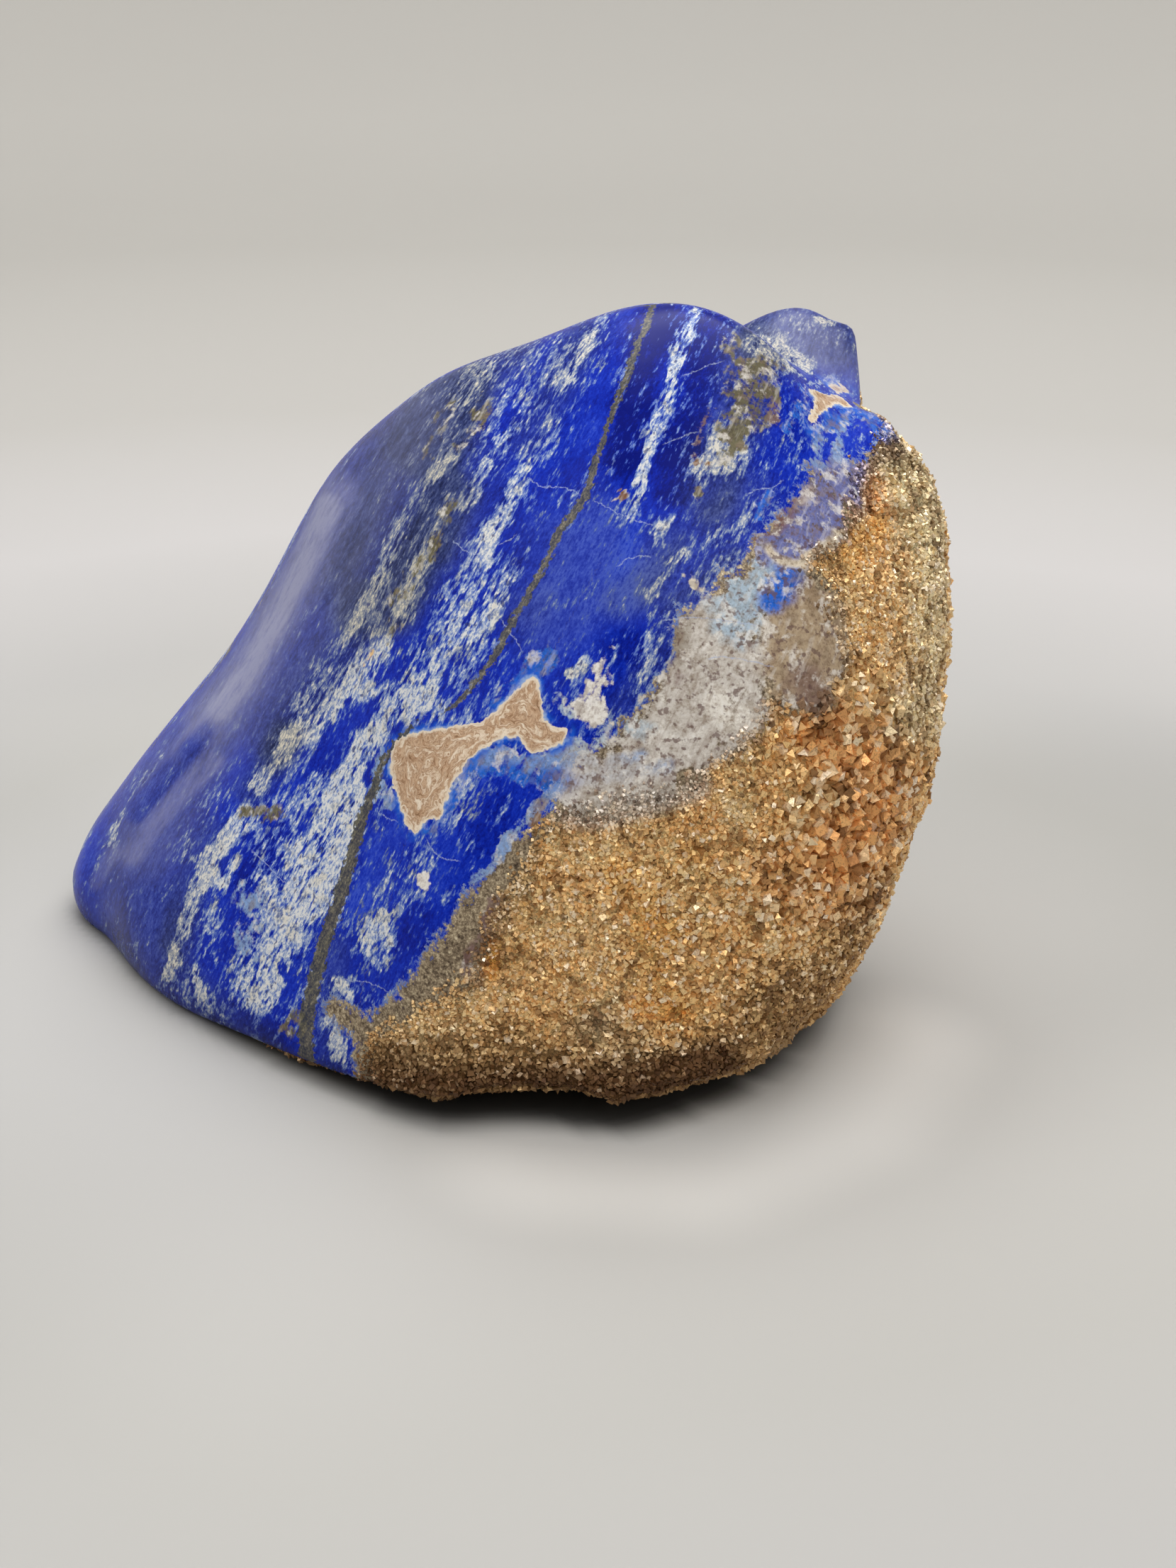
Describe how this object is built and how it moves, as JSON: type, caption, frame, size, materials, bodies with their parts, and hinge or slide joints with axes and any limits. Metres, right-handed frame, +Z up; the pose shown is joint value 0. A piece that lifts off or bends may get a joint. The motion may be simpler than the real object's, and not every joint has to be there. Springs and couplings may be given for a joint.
{
  "type": "lapis lazuli freeform",
  "caption": "Free-standing blue lapis stone, ground smooth on its long sloping face, with a rough golden pyrite rind on its rounded end and a flat spot under it to stand on.",
  "frame": {"origin": "middle of the stone's box, on the flat spot that it stands on", "axes": "+X along the stone from its low nose to its rounded pyrite end, +Y away from the sloping front face, +Z up"},
  "size_m": [0.1742, 0.123, 0.1314],
  "materials": {
    "lapis_lazuli": "polished deep blue with pale streaks on the long face, grey to golden rough pyrite on the rounded end"
  },
  "bodies": {
    "root": {"lapis_freeform": "lapis_lazuli"}
  },
  "joints": []
}
